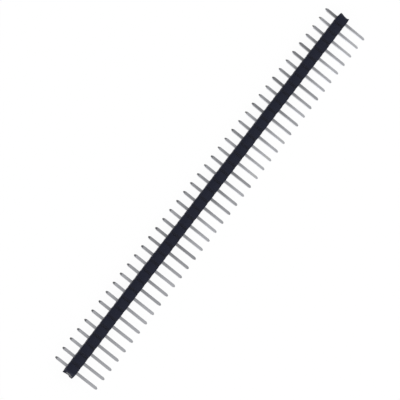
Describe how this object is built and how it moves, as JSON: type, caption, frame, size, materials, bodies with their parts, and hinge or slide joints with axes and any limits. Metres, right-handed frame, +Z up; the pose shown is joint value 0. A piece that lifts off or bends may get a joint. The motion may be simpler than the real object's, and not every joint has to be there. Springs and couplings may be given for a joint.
{
  "type": "pin header strip",
  "caption": "Straight single-row male pin header strip, 2.54 mm pitch: square tin-plated pins pressed through a black moulded strip with break-off notches.",
  "frame": {"origin": "on the side face that the strip lies on, straight under the axis of the first pin and half way up the moulded strip's height along the pins", "axes": "+X along the strip from the first pin to the last, +Y along the solder tails, -Y along the mating pins, +Z up from the side face that the strip lies on"},
  "size_m": [0.102, 0.0114, 0.0025],
  "materials": {
    "insulator": "satin",
    "tin_plated_pin": "satin"
  },
  "bodies": {
    "root": {"insulator_strip": "insulator", "pin_01": "tin_plated_pin", "pin_02": "tin_plated_pin", "pin_03": "tin_plated_pin", "pin_04": "tin_plated_pin", "pin_05": "tin_plated_pin", "pin_06": "tin_plated_pin", "pin_07": "tin_plated_pin", "pin_08": "tin_plated_pin", "pin_09": "tin_plated_pin", "pin_10": "tin_plated_pin", "pin_11": "tin_plated_pin", "pin_12": "tin_plated_pin", "pin_13": "tin_plated_pin", "pin_14": "tin_plated_pin", "pin_15": "tin_plated_pin", "pin_16": "tin_plated_pin", "pin_17": "tin_plated_pin", "pin_18": "tin_plated_pin", "pin_19": "tin_plated_pin", "pin_20": "tin_plated_pin", "pin_21": "tin_plated_pin", "pin_22": "tin_plated_pin", "pin_23": "tin_plated_pin", "pin_24": "tin_plated_pin", "pin_25": "tin_plated_pin", "pin_26": "tin_plated_pin", "pin_27": "tin_plated_pin", "pin_28": "tin_plated_pin", "pin_29": "tin_plated_pin", "pin_30": "tin_plated_pin", "pin_31": "tin_plated_pin", "pin_32": "tin_plated_pin", "pin_33": "tin_plated_pin", "pin_34": "tin_plated_pin", "pin_35": "tin_plated_pin", "pin_36": "tin_plated_pin", "pin_37": "tin_plated_pin", "pin_38": "tin_plated_pin", "pin_39": "tin_plated_pin", "pin_40": "tin_plated_pin"}
  },
  "joints": []
}
